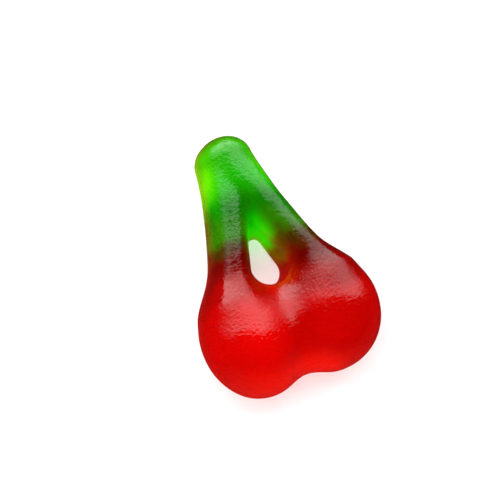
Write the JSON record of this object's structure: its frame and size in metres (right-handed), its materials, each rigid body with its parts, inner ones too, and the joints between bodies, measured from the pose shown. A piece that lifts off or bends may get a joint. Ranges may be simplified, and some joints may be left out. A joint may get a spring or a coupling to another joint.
{
  "type": "gummy cherry sweet",
  "caption": "Moulded gummy sweet shaped like twin cherries: round domed lobes with leaning stems that meet in a blunt tip, an egg-shaped hole between them and a flat back.",
  "frame": {"origin": "centre of the bounding box in X and Y, on the surface that the flat back rests on", "axes": "+Y from the cherries to the stems' tip, +Z from the flat back out of the domed front, +X across the two cherries"},
  "size_m": [0.0276, 0.0394, 0.0122],
  "materials": {
    "gel": "glossy translucent gelatine, red at the cherries, dark brown-red where the colours meet and green along the stems, with a fine pebbled skin"
  },
  "bodies": {
    "root": {"gummy_cherry": "gel"}
  },
  "joints": []
}
